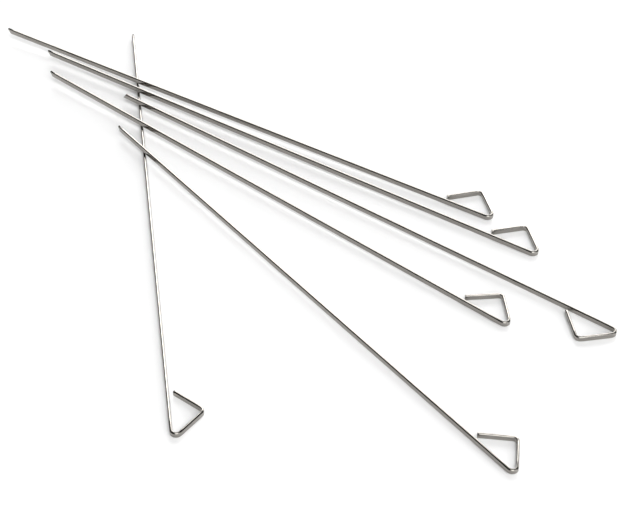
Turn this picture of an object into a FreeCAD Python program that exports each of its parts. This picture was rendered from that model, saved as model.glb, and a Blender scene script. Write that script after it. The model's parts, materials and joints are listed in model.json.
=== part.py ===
import FreeCAD, Part
import Sketcher
import math
import os

# A set of six identical grill skewers, each bent from one length of flat
# stainless strip. One end is cut obliquely to a point, and the other is bent
# into an open triangular grip: a tight bend where the bar ends, a short side,
# a square corner and a second side whose cut end stops just short of the bar.
# Every skewer stands on the strip's narrow edge, so its grip lies flat. One of
# them, the prop, lies on the floor and holds up the points of the other five,
# which are laid across it as a fan.
#
# Frame: millimetres, +Z up, floor at Z = 0, the prop's bar along Y with its
# point towards +Y, origin at the centre of the whole set's footprint.

# One skewer. Angles are in degrees.
SKEWER_SIZES = {
    "overall_length": 300.0,  # point to the outside of the first bend
    "strip_width": 3.0,
    "strip_thickness": 1.4,
    "edge_radius": 0.6,  # rounding of the strip's four long edges
    "bend_radius": 2.3,  # to the middle of the strip's thickness
    "first_bend": 135.0,  # turn from the bar into the first side
    "second_bend": 90.0,  # turn from the first side into the second
    "first_side": 14.6,  # straight length between the two bends
    "second_side": 15.9,  # straight length from the second bend to the cut end
    "point_setback": 2.1,  # how far the oblique cut runs back over the strip's width
}

# Room between the prop and each skewer that rests on it.
LAYOUT_SIZES = {"crossing_gap": 0.05}

# The fan, from the prop's point towards its grip: where each bar crosses the
# prop, measured from the prop's point, how far its own point reaches past the
# crossing, and the angle between the two bars.
FAN = (
    {"station": 45.0, "overhang": 87.0, "angle": 52.0},
    {"station": 53.0, "overhang": 61.0, "angle": 50.5},
    {"station": 64.0, "overhang": 11.0, "angle": 47.0},
    {"station": 82.0, "overhang": 67.0, "angle": 43.5},
    {"station": 104.0, "overhang": 23.0, "angle": 31.5},
)
TURNED_OVER = (3,)  # the fan's third skewer lies on its other edge

PROP_HEADING = -90.0  # degrees from +X, point to grip
ORIGIN = FreeCAD.Vector(0, 0, 0)
ALONG = FreeCAD.Vector(1, 0, 0)
UP = FreeCAD.Vector(0, 0, 1)


def all_sizes():
    sizes = dict(SKEWER_SIZES)
    sizes.update(LAYOUT_SIZES)
    for number, crossing in enumerate(FAN, start=1):
        for name, value in crossing.items():
            sizes[f"{name}_{number}"] = value
    return sizes


def make_sheet(doc):
    sheet = doc.addObject("Spreadsheet::Sheet", "Sizes")
    for row, (alias, value) in enumerate(all_sizes().items(), start=1):
        sheet.set(f"A{row}", alias)
        sheet.set(f"B{row}", str(value))
        sheet.setAlias(f"B{row}", alias)
    doc.recompute()
    return sheet


# Sketching


class Outline:
    """A sketch drawn as straight runs and left-hand arcs, one after another."""

    def __init__(self, body, role, name, start):
        self.sketch = body.newObject("Sketcher::SketchObject", name)
        plane = next(item for item in body.Origin.OriginFeatures if item.Role == role)
        self.sketch.AttachmentSupport = [(plane, "")]
        self.sketch.MapMode = "FlatFace"
        self.point = start
        self.heading = 0.0

    def toward(self, degrees):
        angle = math.radians(degrees)
        return FreeCAD.Vector(math.cos(angle), math.sin(angle), 0)

    def run(self, length):
        end = self.point + self.toward(self.heading) * length
        line = self.sketch.addGeometry(Part.LineSegment(self.point, end))
        self.point = end
        return line

    def turn(self, radius, degrees):
        start_angle = self.heading - 90
        end_angle = start_angle + degrees
        centre = self.point - self.toward(start_angle) * radius
        circle = Part.Circle(centre, UP, radius)
        bounds = (math.radians(start_angle), math.radians(end_angle))
        arc = self.sketch.addGeometry(Part.ArcOfCircle(circle, *bounds))
        self.point = centre + self.toward(end_angle) * radius
        self.heading += degrees
        return arc

    def rule(self, *rule):
        return self.sketch.addConstraint(Sketcher.Constraint(*rule))

    def run_smoothly(self, pieces):
        """Make each piece run smoothly into the one that follows it."""
        for before, after in zip(pieces, pieces[1:]):
            self.rule("Tangent", before, 2, after, 1)

    def bind(self, name, expression, *rule):
        index = self.rule(*rule)
        self.sketch.renameConstraint(index, name)
        self.sketch.setExpression(f"Constraints.{name}", expression)


# One skewer


def draw_centreline(body, sizes):
    """The middle of the strip seen from above, from the point to the cut end."""
    outline = Outline(body, "XY_Plane", "Centreline", ORIGIN)
    bar_length = sizes.overall_length - sizes.bend_radius - sizes.strip_thickness / 2
    bar = outline.run(bar_length)
    first_bend = outline.turn(sizes.bend_radius, sizes.first_bend)
    first_side = outline.run(sizes.first_side)
    second_bend = outline.turn(sizes.bend_radius, sizes.second_bend)
    second_side = outline.run(sizes.second_side)

    outline.rule("Coincident", bar, 1, -1, 1)
    outline.rule("Horizontal", bar)
    outline.run_smoothly((bar, first_bend, first_side, second_bend, second_side))
    bar_rule = "Sizes.overall_length - Sizes.bend_radius - Sizes.strip_thickness / 2"
    outline.bind("bar_run", bar_rule, "Distance", bar, bar_length)
    outline.bind("side_one", "Sizes.first_side", "Distance", first_side, sizes.first_side)
    outline.bind("side_two", "Sizes.second_side", "Distance", second_side, sizes.second_side)
    for name, arc in (("first_bend", first_bend), ("second_bend", second_bend)):
        turn = math.radians(getattr(sizes, name))
        outline.bind(f"{name}_radius", "Sizes.bend_radius", "Radius", arc, sizes.bend_radius)
        outline.bind(f"{name}_turn", f"Sizes.{name} * 1 deg", "Angle", arc, turn)
    return outline.sketch


def draw_section(body, sizes):
    """The strip's rounded section, on edge, centred on the bar."""
    radius = sizes.edge_radius
    flat_across = sizes.strip_thickness - 2 * radius
    flat_up = sizes.strip_width - 2 * radius
    outline = Outline(body, "YZ_Plane", "Section", FreeCAD.Vector(-flat_across / 2, 0, 0))
    flats = []
    corners = []
    for flat in (flat_across, flat_up, flat_across, flat_up):
        flats.append(outline.run(flat))
        corners.append(outline.turn(radius, 90))
    bottom, right, top, left = flats

    pieces = [piece for pair in zip(flats, corners) for piece in pair]
    outline.run_smoothly(pieces + [bottom])
    outline.rule("Horizontal", bottom)
    outline.rule("Horizontal", top)
    outline.rule("Vertical", right)
    outline.rule("Vertical", left)
    outline.rule("Symmetric", bottom, 1, bottom, 2, -1, 1)
    for corner in corners[1:]:
        outline.rule("Equal", corners[0], corner)
    across_rule = "Sizes.strip_thickness - 2 * Sizes.edge_radius"
    up_rule = "Sizes.strip_width - 2 * Sizes.edge_radius"
    outline.bind("rounding", "Sizes.edge_radius", "Radius", corners[0], radius)
    outline.bind("flat_across", across_rule, "Distance", bottom, flat_across)
    outline.bind("flat_up", up_rule, "Distance", right, flat_up)
    return outline.sketch


def draw_oblique_cut(body, sizes):
    """The wedge below the point, seen from the strip's broad side."""
    setback = sizes.point_setback
    height = sizes.strip_width
    outline = Outline(body, "XZ_Plane", "ObliqueCut", ORIGIN)
    points = (ORIGIN, FreeCAD.Vector(setback, 0, 0), FreeCAD.Vector(0, height, 0))
    lines = []
    for start, end in zip(points, points[1:] + points[:1]):
        lines.append(outline.sketch.addGeometry(Part.LineSegment(start, end)))
    floor, slope, front = lines

    outline.rule("Coincident", floor, 1, -1, 1)
    outline.rule("Horizontal", floor)
    outline.rule("Vertical", front)
    for before, after in ((floor, slope), (slope, front), (front, floor)):
        outline.rule("Coincident", before, 2, after, 1)
    outline.bind("setback", "Sizes.point_setback", "Distance", floor, setback)
    outline.bind("height", "Sizes.strip_width", "Distance", front, height)
    return outline.sketch


def make_skewer(doc, name, sizes):
    body = doc.addObject("PartDesign::Body", name)
    body.Label = name
    centreline = draw_centreline(body, sizes)
    section = draw_section(body, sizes)
    strip = body.newObject("PartDesign::AdditivePipe", "Strip")
    strip.Profile = section
    strip.Spine = (centreline, [""])
    doc.recompute()

    point = body.newObject("PartDesign::Pocket", "Point")
    point.Profile = draw_oblique_cut(body, sizes)
    point.Type = "ThroughAll"
    point.Midplane = True
    doc.recompute()
    body.Tip = point
    if point.Shape.Volume >= strip.Shape.Volume:
        raise RuntimeError(f"{name}: the oblique cut removed nothing")
    return body


# The layout


def turned_over(sizes):
    """The placement that stands a skewer on its other edge, grip to the right."""
    flip = FreeCAD.Rotation(ALONG, 180)
    return FreeCAD.Placement(FreeCAD.Vector(0, 0, sizes.strip_width), flip)


def propped(sizes, overhang, side):
    """The tilt, about the grip's first side, that lifts the crossing onto the prop."""
    outer_flat = sizes.strip_thickness / 2 - sizes.edge_radius
    bend_end = sizes.overall_length - sizes.bend_radius - sizes.strip_thickness / 2
    bend_turn = math.radians(sizes.first_bend)
    reach = sizes.bend_radius + outer_flat
    pivot = FreeCAD.Vector(
        bend_end + reach * math.sin(bend_turn),
        side * (sizes.bend_radius - reach * math.cos(bend_turn)),
        0,
    )
    axis = FreeCAD.Vector(math.cos(bend_turn), side * math.sin(bend_turn), 0)
    arm = (FreeCAD.Vector(overhang, 0, 0) - pivot).cross(axis).Length
    tilt = math.degrees(math.asin((sizes.strip_width + sizes.crossing_gap) / arm))
    return FreeCAD.Placement(ORIGIN, FreeCAD.Rotation(axis, side * tilt), pivot)


def across_prop(sizes, number):
    """The placement of one fanned skewer, in the prop's own frame."""
    overhang = getattr(sizes, f"overhang_{number}")
    station = getattr(sizes, f"station_{number}")
    angle = getattr(sizes, f"angle_{number}")
    over = number in TURNED_OVER
    lying = turned_over(sizes) if over else FreeCAD.Placement()
    tilted = propped(sizes, overhang, -1 if over else 1)
    to_crossing = FreeCAD.Placement(FreeCAD.Vector(-overhang, 0, 0), FreeCAD.Rotation())
    fanned = FreeCAD.Placement(FreeCAD.Vector(station, 0, 0), FreeCAD.Rotation(UP, angle))
    return fanned * to_crossing * tilted * lying


def centre_on_footprint(bodies):
    """Slide the whole set so that the middle of its footprint is at the origin."""
    box = FreeCAD.BoundBox()
    for body in bodies:
        box.add(body.Shape.optimalBoundingBox())
    to_centre = FreeCAD.Placement(
        FreeCAD.Vector(-box.Center.x, -box.Center.y, 0), FreeCAD.Rotation()
    )
    for body in bodies:
        body.Placement = to_centre * body.Placement


def lay_out(prop, fan, sizes):
    heading = FreeCAD.Placement(ORIGIN, FreeCAD.Rotation(UP, PROP_HEADING))
    prop.Placement = heading
    for number, body in enumerate(fan, start=1):
        body.Placement = heading * across_prop(sizes, number)
    centre_on_footprint([prop] + fan)


# Checking and writing


def check(doc, bodies):
    doc.recompute()
    for item in doc.Objects:
        if "Invalid" in item.State or "Error" in item.State:
            raise RuntimeError(f"{item.Name} failed: {item.State}")
    for body in bodies:
        if body.Shape.isNull() or not body.Shape.isValid() or len(body.Shape.Solids) != 1:
            raise RuntimeError(f"{body.Label} isn't one valid solid")


def write_parts(bodies):
    os.makedirs("parts", exist_ok=True)
    for body in bodies:
        body.Shape.exportStep(f"parts/{body.Label}.step")


def main():
    doc = FreeCAD.newDocument("skewer_set")
    sizes = make_sheet(doc)
    prop = make_skewer(doc, "prop_skewer", sizes)
    fan = [make_skewer(doc, f"fan_skewer_{number}", sizes) for number in range(1, len(FAN) + 1)]
    lay_out(prop, fan, sizes)
    check(doc, [prop] + fan)
    write_parts([prop] + fan)


main()
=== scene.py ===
import json
import math

import bmesh
import bpy
from mathutils import Matrix, Vector


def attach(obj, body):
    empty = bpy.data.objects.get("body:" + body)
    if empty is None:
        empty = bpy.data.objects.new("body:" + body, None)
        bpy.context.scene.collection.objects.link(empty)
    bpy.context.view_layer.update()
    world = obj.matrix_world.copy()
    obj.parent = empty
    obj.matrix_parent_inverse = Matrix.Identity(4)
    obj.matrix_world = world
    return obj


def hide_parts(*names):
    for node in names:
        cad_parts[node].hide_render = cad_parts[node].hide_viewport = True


# Six stainless grill skewers, one lying on the floor and five fanned across it.
# Each is one bent strip, so each CAD node is replaced by one finely built strip
# that rides on the same body. Lengths are in metres.

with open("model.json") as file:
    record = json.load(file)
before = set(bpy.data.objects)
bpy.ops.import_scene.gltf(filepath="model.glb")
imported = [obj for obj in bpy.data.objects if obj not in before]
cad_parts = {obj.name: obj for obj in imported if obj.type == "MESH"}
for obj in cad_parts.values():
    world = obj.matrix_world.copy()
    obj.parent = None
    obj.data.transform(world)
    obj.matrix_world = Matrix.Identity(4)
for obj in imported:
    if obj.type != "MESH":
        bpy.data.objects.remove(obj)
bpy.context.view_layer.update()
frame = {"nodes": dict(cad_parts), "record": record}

# The strip, from its point to its cut end. A bend is a length at mid-thickness.
STRIP_WIDTH = 0.003
STRIP_THICKNESS = 0.0014
EDGE_RADIUS = 0.0006
OVERALL_LENGTH = 0.3
BEND_RADIUS = 0.0023
FIRST_TURN = math.radians(135)
SECOND_TURN = math.radians(90)
FIRST_SIDE = 0.0146
SECOND_SIDE = 0.0159
POINT_SETBACK = 0.0021
SQUARE_WITHIN = 0.02  # how far off square a face may be, as a cosine
NORMAL_DIGITS = 3  # faces whose normals agree to this many digits are one flat

# How a bend distorts the strip: its outer face draws in, its inner face spreads.
BEND_DRAW_IN = 0.10
BEND_SPREAD = 0.03
BEND_EASE = 0.0015  # how far past a bend the distortion fades out

# How finely the strip is divided.
BAR_STEP = 0.004
SIDE_STEP = 0.0012
TURN_STEP = math.radians(4.5)
CORNER_STEPS = 8
FLAT_STEPS = 3

# The broken edges of the sheared ends: depth of each ring and how far it is inset.
END_RINGS = ((0.0, 0.00007), (0.00002, 0.00003), (0.00007, 0.0))
POINT_BLEND = 0.006  # where the oblique cut's slanted rings have become square

# Camera: where it looks on the floor, and from where.
LOOK_AT = Vector((0.00515, -0.0233, 0.0))
CAMERA_HEIGHT = 0.6153
CAMERA_AZIMUTH = -7.245
CAMERA_ELEVATION = 42.731
LENS_MM = 107.43
SENSOR_MM = 36.0

# The steel. Noise is in cells per metre, along the strip and round it.
DRAWING_LINES = (25.0, 30000.0)
TONE_CLOUDS = (60.0, 600.0)
SCRATCHES = (250.0, 15000.0)
BEND_PEEL = (8000.0, 8000.0)
SHEAR_LINES = (12000.0, 1500.0)
NOISE_SPAN = (0.3, 0.7)
SCRATCH_THRESHOLD = (0.64, 0.72)
STEEL_DARK = (0.275, 0.262, 0.243, 1.0)
STEEL_LIGHT = (0.333, 0.318, 0.296, 1.0)
# Painted shade: a darker colour for the rounded edges, which deepens the dark line they reflect.
STEEL_EDGE_PAINTED_SHADE = (0.2, 0.19, 0.176, 1.0)
EDGE_SHADE_SHARE = 0.6  # how far a rounded edge's colour goes towards that painted shade
STEEL_CUT = (0.38, 0.37, 0.352, 1.0)
STEEL_ROUGHNESS = (0.06, 0.11)
TONE_WEIGHTS = (0.7, 0.3)  # the clouds' and the drawing lines' part in the tone
SCRATCH_DULLING = 0.06
BEND_DULLING = 0.05
CUT_DULLING = 0.22
EDGE_BURNISHING = -0.03
LINE_DEPTH = 0.000001
PEEL_WEIGHT = 2.0  # heights, in drawing lines
SHEAR_WEIGHT = 20.0
MIX_COLOURS = (6, 7)  # a Mix node's colour inputs
MIX_RESULT = 2  # its colour output

# The studio: lamps behind, in front and at the right, and none at the left, so that
# each rounded edge that faces left shows a dark line.
STAGE_RADIUS = 5.5
STAGE_SIDES = 96
FLOOR_COLOUR = (0.9, 0.9, 0.9, 1.0)
FLOOR_ROUGHNESS = 0.8
FLOOR_SHINE = 0.1
BLACK = (0.0, 0.0, 0.0, 1.0)
WHITE = (1.0, 1.0, 1.0, 1.0)
BACKDROP_BRIGHTNESS = 0.92
SOFTBOX_DISTANCE = 6.0
SOFTBOX_HEIGHT = 24.0  # degrees
SOFTBOXES = (  # name, azimuth, elevation and width in degrees, radiance
    ("back_low", 15, 14, 42, 3.5),
    ("back_right_low", 55, 14, 42, 4.5),
    ("back", 10, 38, 34, 5.5),
    ("front_right_low", 135, 14, 42, 2.0),
    ("front_right", 135, 38, 34, 2.5),
    ("front_low", 180, 14, 42, 2.0),
    ("front", 180, 38, 34, 3.5),
    ("front_high", 180, 62, 36, 6.5),
)


# Where each skewer lies


def largest_face_normal(mesh, across=None):
    """The normal of the largest flat, of those square to the direction across."""
    sums = {}
    for face in mesh.polygons:
        if across is not None and abs(face.normal.dot(across)) > SQUARE_WITHIN:
            continue
        normal = face.normal if face.normal[:] > (-face.normal)[:] else -face.normal
        key = tuple(round(part, NORMAL_DIGITS) + 0.0 for part in normal)
        sums[key] = sums.get(key, Vector()) + normal * face.area
    return max(sums.values(), key=lambda total: total.length).normalized()


def place_of(node):
    """The matrix from a skewer's own frame, X from point to grip and +Y the grip's side."""
    mesh = node.data
    side = largest_face_normal(mesh)
    up = largest_face_normal(mesh, side)
    along = side.cross(up)
    points = [vertex.co for vertex in mesh.vertices]
    middle = sum(points, Vector()) / len(points)
    reach = [along.dot(point) for point in points]
    if along.dot(middle) < (min(reach) + max(reach)) / 2:
        along = -along
    start = min(along.dot(point) for point in points)
    bar = [point for point in points if along.dot(point) < start + OVERALL_LENGTH / 2]
    across = [side.dot(point) for point in bar]
    bar_side = (min(across) + max(across)) / 2
    if side.dot(middle) < bar_side:
        side = -side
        bar_side = -bar_side
    up = along.cross(side)
    lowest = min(up.dot(point) for point in bar)
    turn = Matrix((along, side, up)).transposed()
    origin = along * start + side * bar_side + up * lowest
    return Matrix.Translation(origin) @ turn.to_4x4()


# The strip's mesh


def centreline():
    """Stations along the strip (distance, place, heading), and each bend's start and end."""
    bar = OVERALL_LENGTH - BEND_RADIUS - STRIP_THICKNESS / 2
    legs = (
        (bar, BAR_STEP, FIRST_TURN),
        (FIRST_SIDE, SIDE_STEP, SECOND_TURN),
        (SECOND_SIDE, SIDE_STEP, 0.0),
    )
    place = Vector((0.0, 0.0))
    heading = 0.0
    distance = 0.0
    stations = [(distance, place.copy(), heading)]
    bends = []
    for length, step, turn in legs:
        ahead = Vector((math.cos(heading), math.sin(heading)))
        count = math.ceil(length / step)
        for index in range(1, count + 1):
            share = index / count
            stations.append((distance + length * share, place + ahead * length * share, heading))
        place = place + ahead * length
        distance += length
        if not turn:
            continue
        centre = place + Vector((-ahead.y, ahead.x)) * BEND_RADIUS
        count = math.ceil(turn / TURN_STEP)
        bends.append((distance, distance + BEND_RADIUS * turn))
        for index in range(1, count + 1):
            angle = heading + turn * index / count
            out = Vector((math.sin(angle), -math.cos(angle)))
            run = BEND_RADIUS * turn * index / count
            stations.append((distance + run, centre + out * BEND_RADIUS, angle))
        heading += turn
        distance += BEND_RADIUS * turn
        place = stations[-1][1]
    return stations, bends


def bentness(distance, bends):
    """1 inside a bend, fading to 0 a little way past its ends."""
    gap = min(max(start - distance, distance - end) for start, end in bends)
    share = min(max(1 - gap / BEND_EASE, 0.0), 1.0)
    return share * share * (3 - 2 * share)


def section(inset=0.0):
    """The rounded section's outline: its points, across and up."""
    half_across = STRIP_THICKNESS / 2 - inset
    half_up = STRIP_WIDTH / 2 - inset
    radius = EDGE_RADIUS - inset
    outline = []
    for quarter in range(4):
        across_sign = 1 if quarter in (0, 3) else -1
        up_sign = 1 if quarter in (0, 1) else -1
        corner = Vector((across_sign * (half_across - radius), up_sign * (half_up - radius)))
        for index in range(CORNER_STEPS + 1):
            angle = math.pi / 2 * (quarter + index / CORNER_STEPS)
            outline.append(corner + radius * Vector((math.cos(angle), math.sin(angle))))
    points = []
    for start, end in zip(outline, outline[1:] + outline[:1]):
        flat = (end - start).length > radius / 2
        count = FLAT_STEPS if flat else 1
        points.extend(start.lerp(end, index / count) for index in range(count))
    return points


def distorted(point, bent):
    """A point of the section, as a bend leaves it."""
    share = point.x / STRIP_THICKNESS + 0.5  # 0 on a bend's outer face, 1 on its inner
    change = -BEND_DRAW_IN * (1 - share)
    if point.y > 0:
        change += BEND_SPREAD * share
    return Vector((point.x, point.y * (1 + change * bent)))


def ring_points(station, bends, inset=0.0, forward=0.0):
    """The section's points at one station, slanted towards the oblique point."""
    distance, place, heading = station
    bent = bentness(distance, bends)
    ahead = Vector((math.cos(heading), math.sin(heading)))
    left = Vector((-ahead.y, ahead.x))
    points = []
    for point in section(inset):
        across, up = distorted(point, bent)
        spot = place + left * across
        height = up + STRIP_WIDTH / 2
        slant = POINT_SETBACK * (1 - height / STRIP_WIDTH)
        slant *= max(1 - distance / POINT_BLEND, 0.0)
        spot = spot + ahead * (slant + forward)
        points.append(Vector((spot.x, spot.y, height)))
    return points


def all_rings():
    """Every ring of the strip, from the point to the cut end, with its distance along."""
    stations, bends = centreline()
    rings = []
    for depth, inset in END_RINGS:
        rings.append((depth, ring_points(stations[0], bends, inset, depth)))
    for station in stations[1:-1]:
        rings.append((station[0], ring_points(station, bends)))
    last = stations[-1]
    for depth, inset in reversed(END_RINGS):
        rings.append((last[0] - depth, ring_points(last, bends, inset, -depth)))
    return rings


def on_rounding(point):
    """0 on the section's flats, rising to 1 halfway round each rounded edge."""
    past_side = abs(point.x) - (STRIP_THICKNESS / 2 - EDGE_RADIUS)
    past_edge = abs(point.y) - (STRIP_WIDTH / 2 - EDGE_RADIUS)
    halfway = EDGE_RADIUS * math.sqrt(0.5)
    return min(max(min(past_side, past_edge) / halfway, 0.0), 1.0)


def build_strip(name, matrix, number):
    """One skewer's mesh. Its marks are: red a sheared end, green a bend, blue a rounded edge."""
    mesh = bmesh.new()
    uv = mesh.loops.layers.uv.new("strip")
    marks = mesh.loops.layers.float_color.new("marks")
    rings = all_rings()
    bends = centreline()[1]
    outline = section()
    rounded = [on_rounding(point) for point in outline]
    around = [0.0]
    for start, end in zip(outline, outline[1:] + outline[:1]):
        around.append(around[-1] + (end - start).length)
    rows = [[mesh.verts.new(matrix @ point) for point in points] for _, points in rings]
    count = len(outline)
    offset = number * OVERALL_LENGTH * 2
    for (start, _), (end, _), near, far in zip(rings, rings[1:], rows, rows[1:]):
        for index in range(count):
            after = (index + 1) % count
            face = mesh.faces.new((near[index], near[after], far[after], far[index]))
            face.smooth = True
            corners = ((start, index), (start, index + 1), (end, index + 1), (end, index))
            for loop, (run, turn) in zip(face.loops, corners):
                loop[uv].uv = (offset + run, around[turn])
                loop[marks] = (0.0, bentness(run, bends), rounded[turn % count], 1.0)
    for row in (list(reversed(rows[0])), rows[-1]):
        cap = mesh.faces.new(row)
        for loop in cap.loops:
            spot = matrix.inverted() @ loop.vert.co
            loop[uv].uv = (offset + spot.y, spot.z)
            loop[marks] = (1.0, 0.0, 0.0, 1.0)
    bmesh.ops.recalc_face_normals(mesh, faces=mesh.faces)
    data = bpy.data.meshes.new(name)
    mesh.to_mesh(data)
    mesh.free()
    strip = bpy.data.objects.new(name, data)
    bpy.context.scene.collection.objects.link(strip)
    return strip


# Materials


class Recipe:
    """A material made of nodes, wired up one call at a time."""

    def __init__(self, name):
        self.material = bpy.data.materials.new(name)
        self.material.use_nodes = True
        self.tree = self.material.node_tree
        self.shader = self.tree.nodes["Principled BSDF"]

    def feed(self, socket, value):
        if isinstance(value, bpy.types.NodeSocket):
            self.tree.links.new(value, socket)
        else:
            socket.default_value = value

    def node(self, kind, inputs, output=0, **settings):
        node = self.tree.nodes.new(kind)
        for name, value in settings.items():
            setattr(node, name, value)
        for name, value in inputs.items():
            self.feed(node.inputs[name], value)
        return node.outputs[output]

    def math(self, operation, first, second):
        return self.node("ShaderNodeMath", {0: first, 1: second}, operation=operation)

    def remap(self, value, before, after):
        ends = {"From Min": before[0], "From Max": before[1], "To Min": after[0], "To Max": after[1]}
        return self.node("ShaderNodeMapRange", {"Value": value, **ends})

    def blend(self, share, first, second):
        inputs = {0: share, MIX_COLOURS[0]: first, MIX_COLOURS[1]: second}
        return self.node("ShaderNodeMix", inputs, MIX_RESULT, data_type="RGBA")

    def noise(self, place, cells, detail=2.0):
        """Noise with so many cells per metre along the strip and round it."""
        spread = self.node(
            "ShaderNodeVectorMath", {0: place, 1: (*cells, 0.0)}, operation="MULTIPLY"
        )
        return self.node("ShaderNodeTexNoise", {"Vector": spread, "Scale": 1.0, "Detail": detail})

    def weigh(self, parts):
        """The sum of each value times its weight."""
        total = 0.0
        for value, weight in parts:
            total = self.math("ADD", self.math("MULTIPLY", value, weight), total)
        return total


def make_steel():
    """Drawn stainless strip: lengthwise lines, cloudy tone, painted shade on the rounded edges,
    duller bends and sheared ends.
    """
    steel = Recipe("stainless_strip")
    steel.shader.inputs["Metallic"].default_value = 1
    place = steel.node("ShaderNodeUVMap", {}, uv_map="strip")
    marks = steel.node("ShaderNodeAttribute", {}, attribute_name="marks")
    cut, bent, rounded = (
        steel.node("ShaderNodeSeparateColor", {"Color": marks}, part) for part in range(3)
    )
    lines = steel.noise(place, DRAWING_LINES)
    clouds = steel.noise(place, TONE_CLOUDS)
    scratches = steel.remap(steel.noise(place, SCRATCHES), SCRATCH_THRESHOLD, (0.0, 1.0))
    peel = steel.math("MULTIPLY", steel.noise(place, BEND_PEEL), bent)
    shear = steel.math("MULTIPLY", steel.noise(place, SHEAR_LINES), cut)

    tone = steel.remap(steel.weigh(zip((clouds, lines), TONE_WEIGHTS)), NOISE_SPAN, (0.0, 1.0))
    drawn = steel.blend(tone, STEEL_DARK, STEEL_LIGHT)
    # Painted shade: the rounded edges are darkened towards the darker edge colour.
    drawn = steel.blend(steel.math("MULTIPLY", rounded, EDGE_SHADE_SHARE), drawn, STEEL_EDGE_PAINTED_SHADE)
    steel.feed(steel.shader.inputs["Base Color"], steel.blend(cut, drawn, STEEL_CUT))

    drawn_finish = steel.remap(lines, NOISE_SPAN, STEEL_ROUGHNESS)
    duller = ((scratches, SCRATCH_DULLING), (bent, BEND_DULLING), (cut, CUT_DULLING))
    finish = steel.weigh(((drawn_finish, 1.0), *duller, (rounded, EDGE_BURNISHING)))
    steel.feed(steel.shader.inputs["Roughness"], finish)

    grooves = ((lines, 1.0), (scratches, -1.0))
    height = steel.weigh((*grooves, (peel, PEEL_WEIGHT), (shear, SHEAR_WEIGHT)))
    bump = steel.node("ShaderNodeBump", {"Height": height, "Distance": LINE_DEPTH, "Strength": 1.0})
    steel.feed(steel.shader.inputs["Normal"], bump)
    return steel.material


def make_paper():
    paper = Recipe("floor")
    paper.shader.inputs["Base Color"].default_value = FLOOR_COLOUR
    paper.shader.inputs["Roughness"].default_value = FLOOR_ROUGHNESS
    paper.shader.inputs["Specular IOR Level"].default_value = FLOOR_SHINE
    return paper.material


def make_skewers():
    steel = make_steel()
    bodies = frame["record"]["behaviour"]["bodies"]
    for number, (body, nodes) in enumerate(sorted(bodies.items())):
        for node in nodes:
            strip = build_strip(f"{node}_strip", place_of(frame["nodes"][node]), number)
            strip.data.materials.append(steel)
            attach(strip, body)
            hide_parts(node)


# Camera and studio


def make_camera():
    azimuth = math.radians(CAMERA_AZIMUTH)
    elevation = math.radians(CAMERA_ELEVATION)
    back = Vector((
        math.sin(azimuth) * math.cos(elevation),
        -math.cos(azimuth) * math.cos(elevation),
        math.sin(elevation),
    ))
    data = bpy.data.cameras.new("camera")
    data.lens = LENS_MM
    data.sensor_width = SENSOR_MM
    camera = bpy.data.objects.new("camera", data)
    camera.location = LOOK_AT + back * (CAMERA_HEIGHT / math.sin(elevation))
    camera.rotation_mode = "QUATERNION"
    camera.rotation_quaternion = (-back).to_track_quat("-Z", "Y")
    bpy.context.scene.collection.objects.link(camera)
    bpy.context.scene.camera = camera


def make_floor():
    bpy.ops.mesh.primitive_circle_add(
        vertices=STAGE_SIDES, radius=STAGE_RADIUS, fill_type="NGON"
    )
    floor = bpy.context.object
    floor.name = "floor"
    floor.data.materials.append(make_paper())


def make_backdrop():
    """A pale wall all round, which is seen but neither lights nor darkens anything."""
    glow = Recipe("backdrop")
    glow.shader.inputs["Base Color"].default_value = BLACK
    glow.shader.inputs["Emission Color"].default_value = WHITE
    glow.shader.inputs["Emission Strength"].default_value = BACKDROP_BRIGHTNESS
    bpy.ops.mesh.primitive_cylinder_add(
        vertices=STAGE_SIDES,
        radius=STAGE_RADIUS,
        depth=2 * STAGE_RADIUS,
        end_fill_type="NOTHING",
    )
    wall = bpy.context.object
    wall.name = "backdrop"
    wall.data.materials.append(glow.material)
    for kind in ("diffuse", "glossy", "transmission", "shadow"):
        setattr(wall, f"visible_{kind}", False)


def make_softbox(name, azimuth, elevation, width, radiance):
    """A lamp that spans so many degrees, seen from the skewers. Azimuth 0 is +Y and 90 is +X."""
    turn = math.radians(azimuth)
    rise = math.radians(elevation)
    away = Vector((
        math.sin(turn) * math.cos(rise),
        math.cos(turn) * math.cos(rise),
        math.sin(rise),
    ))
    data = bpy.data.lights.new(name, "AREA")
    data.shape = "RECTANGLE"
    data.size = 2 * SOFTBOX_DISTANCE * math.tan(math.radians(width) / 2)
    data.size_y = 2 * SOFTBOX_DISTANCE * math.tan(math.radians(SOFTBOX_HEIGHT) / 2)
    data.energy = radiance * math.pi * data.size * data.size_y
    lamp = bpy.data.objects.new(name, data)
    lamp.location = away * SOFTBOX_DISTANCE
    lamp.rotation_mode = "QUATERNION"
    lamp.rotation_quaternion = (-away).to_track_quat("-Z", "Y")
    lamp.visible_camera = False
    bpy.context.scene.collection.objects.link(lamp)


def make_softboxes():
    for softbox in SOFTBOXES:
        make_softbox(*softbox)
    world = bpy.data.worlds.new("studio")
    world.use_nodes = True
    world.node_tree.nodes["Background"].inputs["Color"].default_value = BLACK
    bpy.context.scene.world = world
    bpy.context.scene.view_settings.view_transform = "Standard"


make_camera()
make_skewers()
make_floor()
make_backdrop()
make_softboxes()
